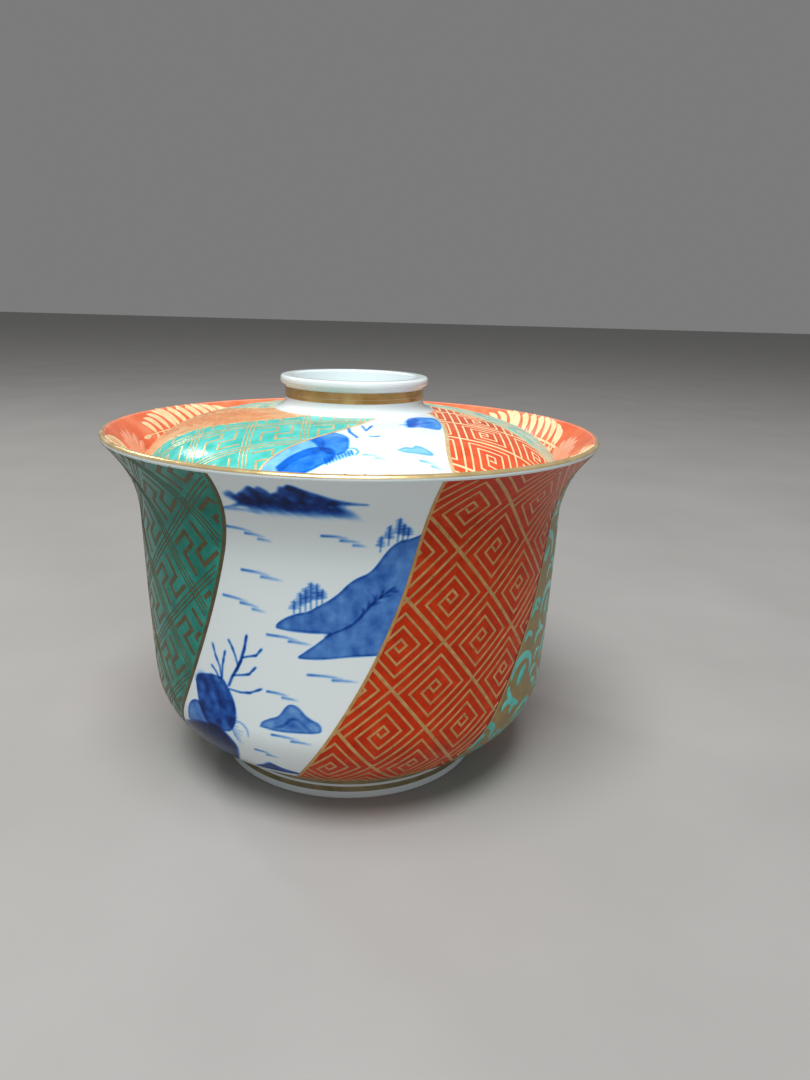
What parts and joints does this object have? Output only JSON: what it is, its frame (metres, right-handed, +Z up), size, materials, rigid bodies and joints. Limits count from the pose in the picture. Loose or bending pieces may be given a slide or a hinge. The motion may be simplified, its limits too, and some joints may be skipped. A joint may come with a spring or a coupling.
{
  "type": "lidded rice bowl",
  "caption": "Flared porcelain rice bowl on a foot ring, with a lift-off domed lid that sits inside the mouth and has a ring knob.",
  "frame": {"origin": "centre of the foot ring, on the plane the bowl stands on", "axes": "+Z up along the axis of revolution, out of the bowl's mouth; -Y is the side with the painted landscape"},
  "size_m": [0.112, 0.112, 0.0907],
  "materials": {
    "bowl_porcelain": "gloss",
    "lid_porcelain": "gloss"
  },
  "bodies": {
    "bowl": {"bowl": "bowl_porcelain"},
    "lid": {"lid": "lid_porcelain"}
  },
  "joints": [
    {"name": "lid_lift", "type": "slide", "parent": "bowl", "child": "lid", "axis": [0, 0, 1], "range_m": [0, 0.06]}
  ]
}
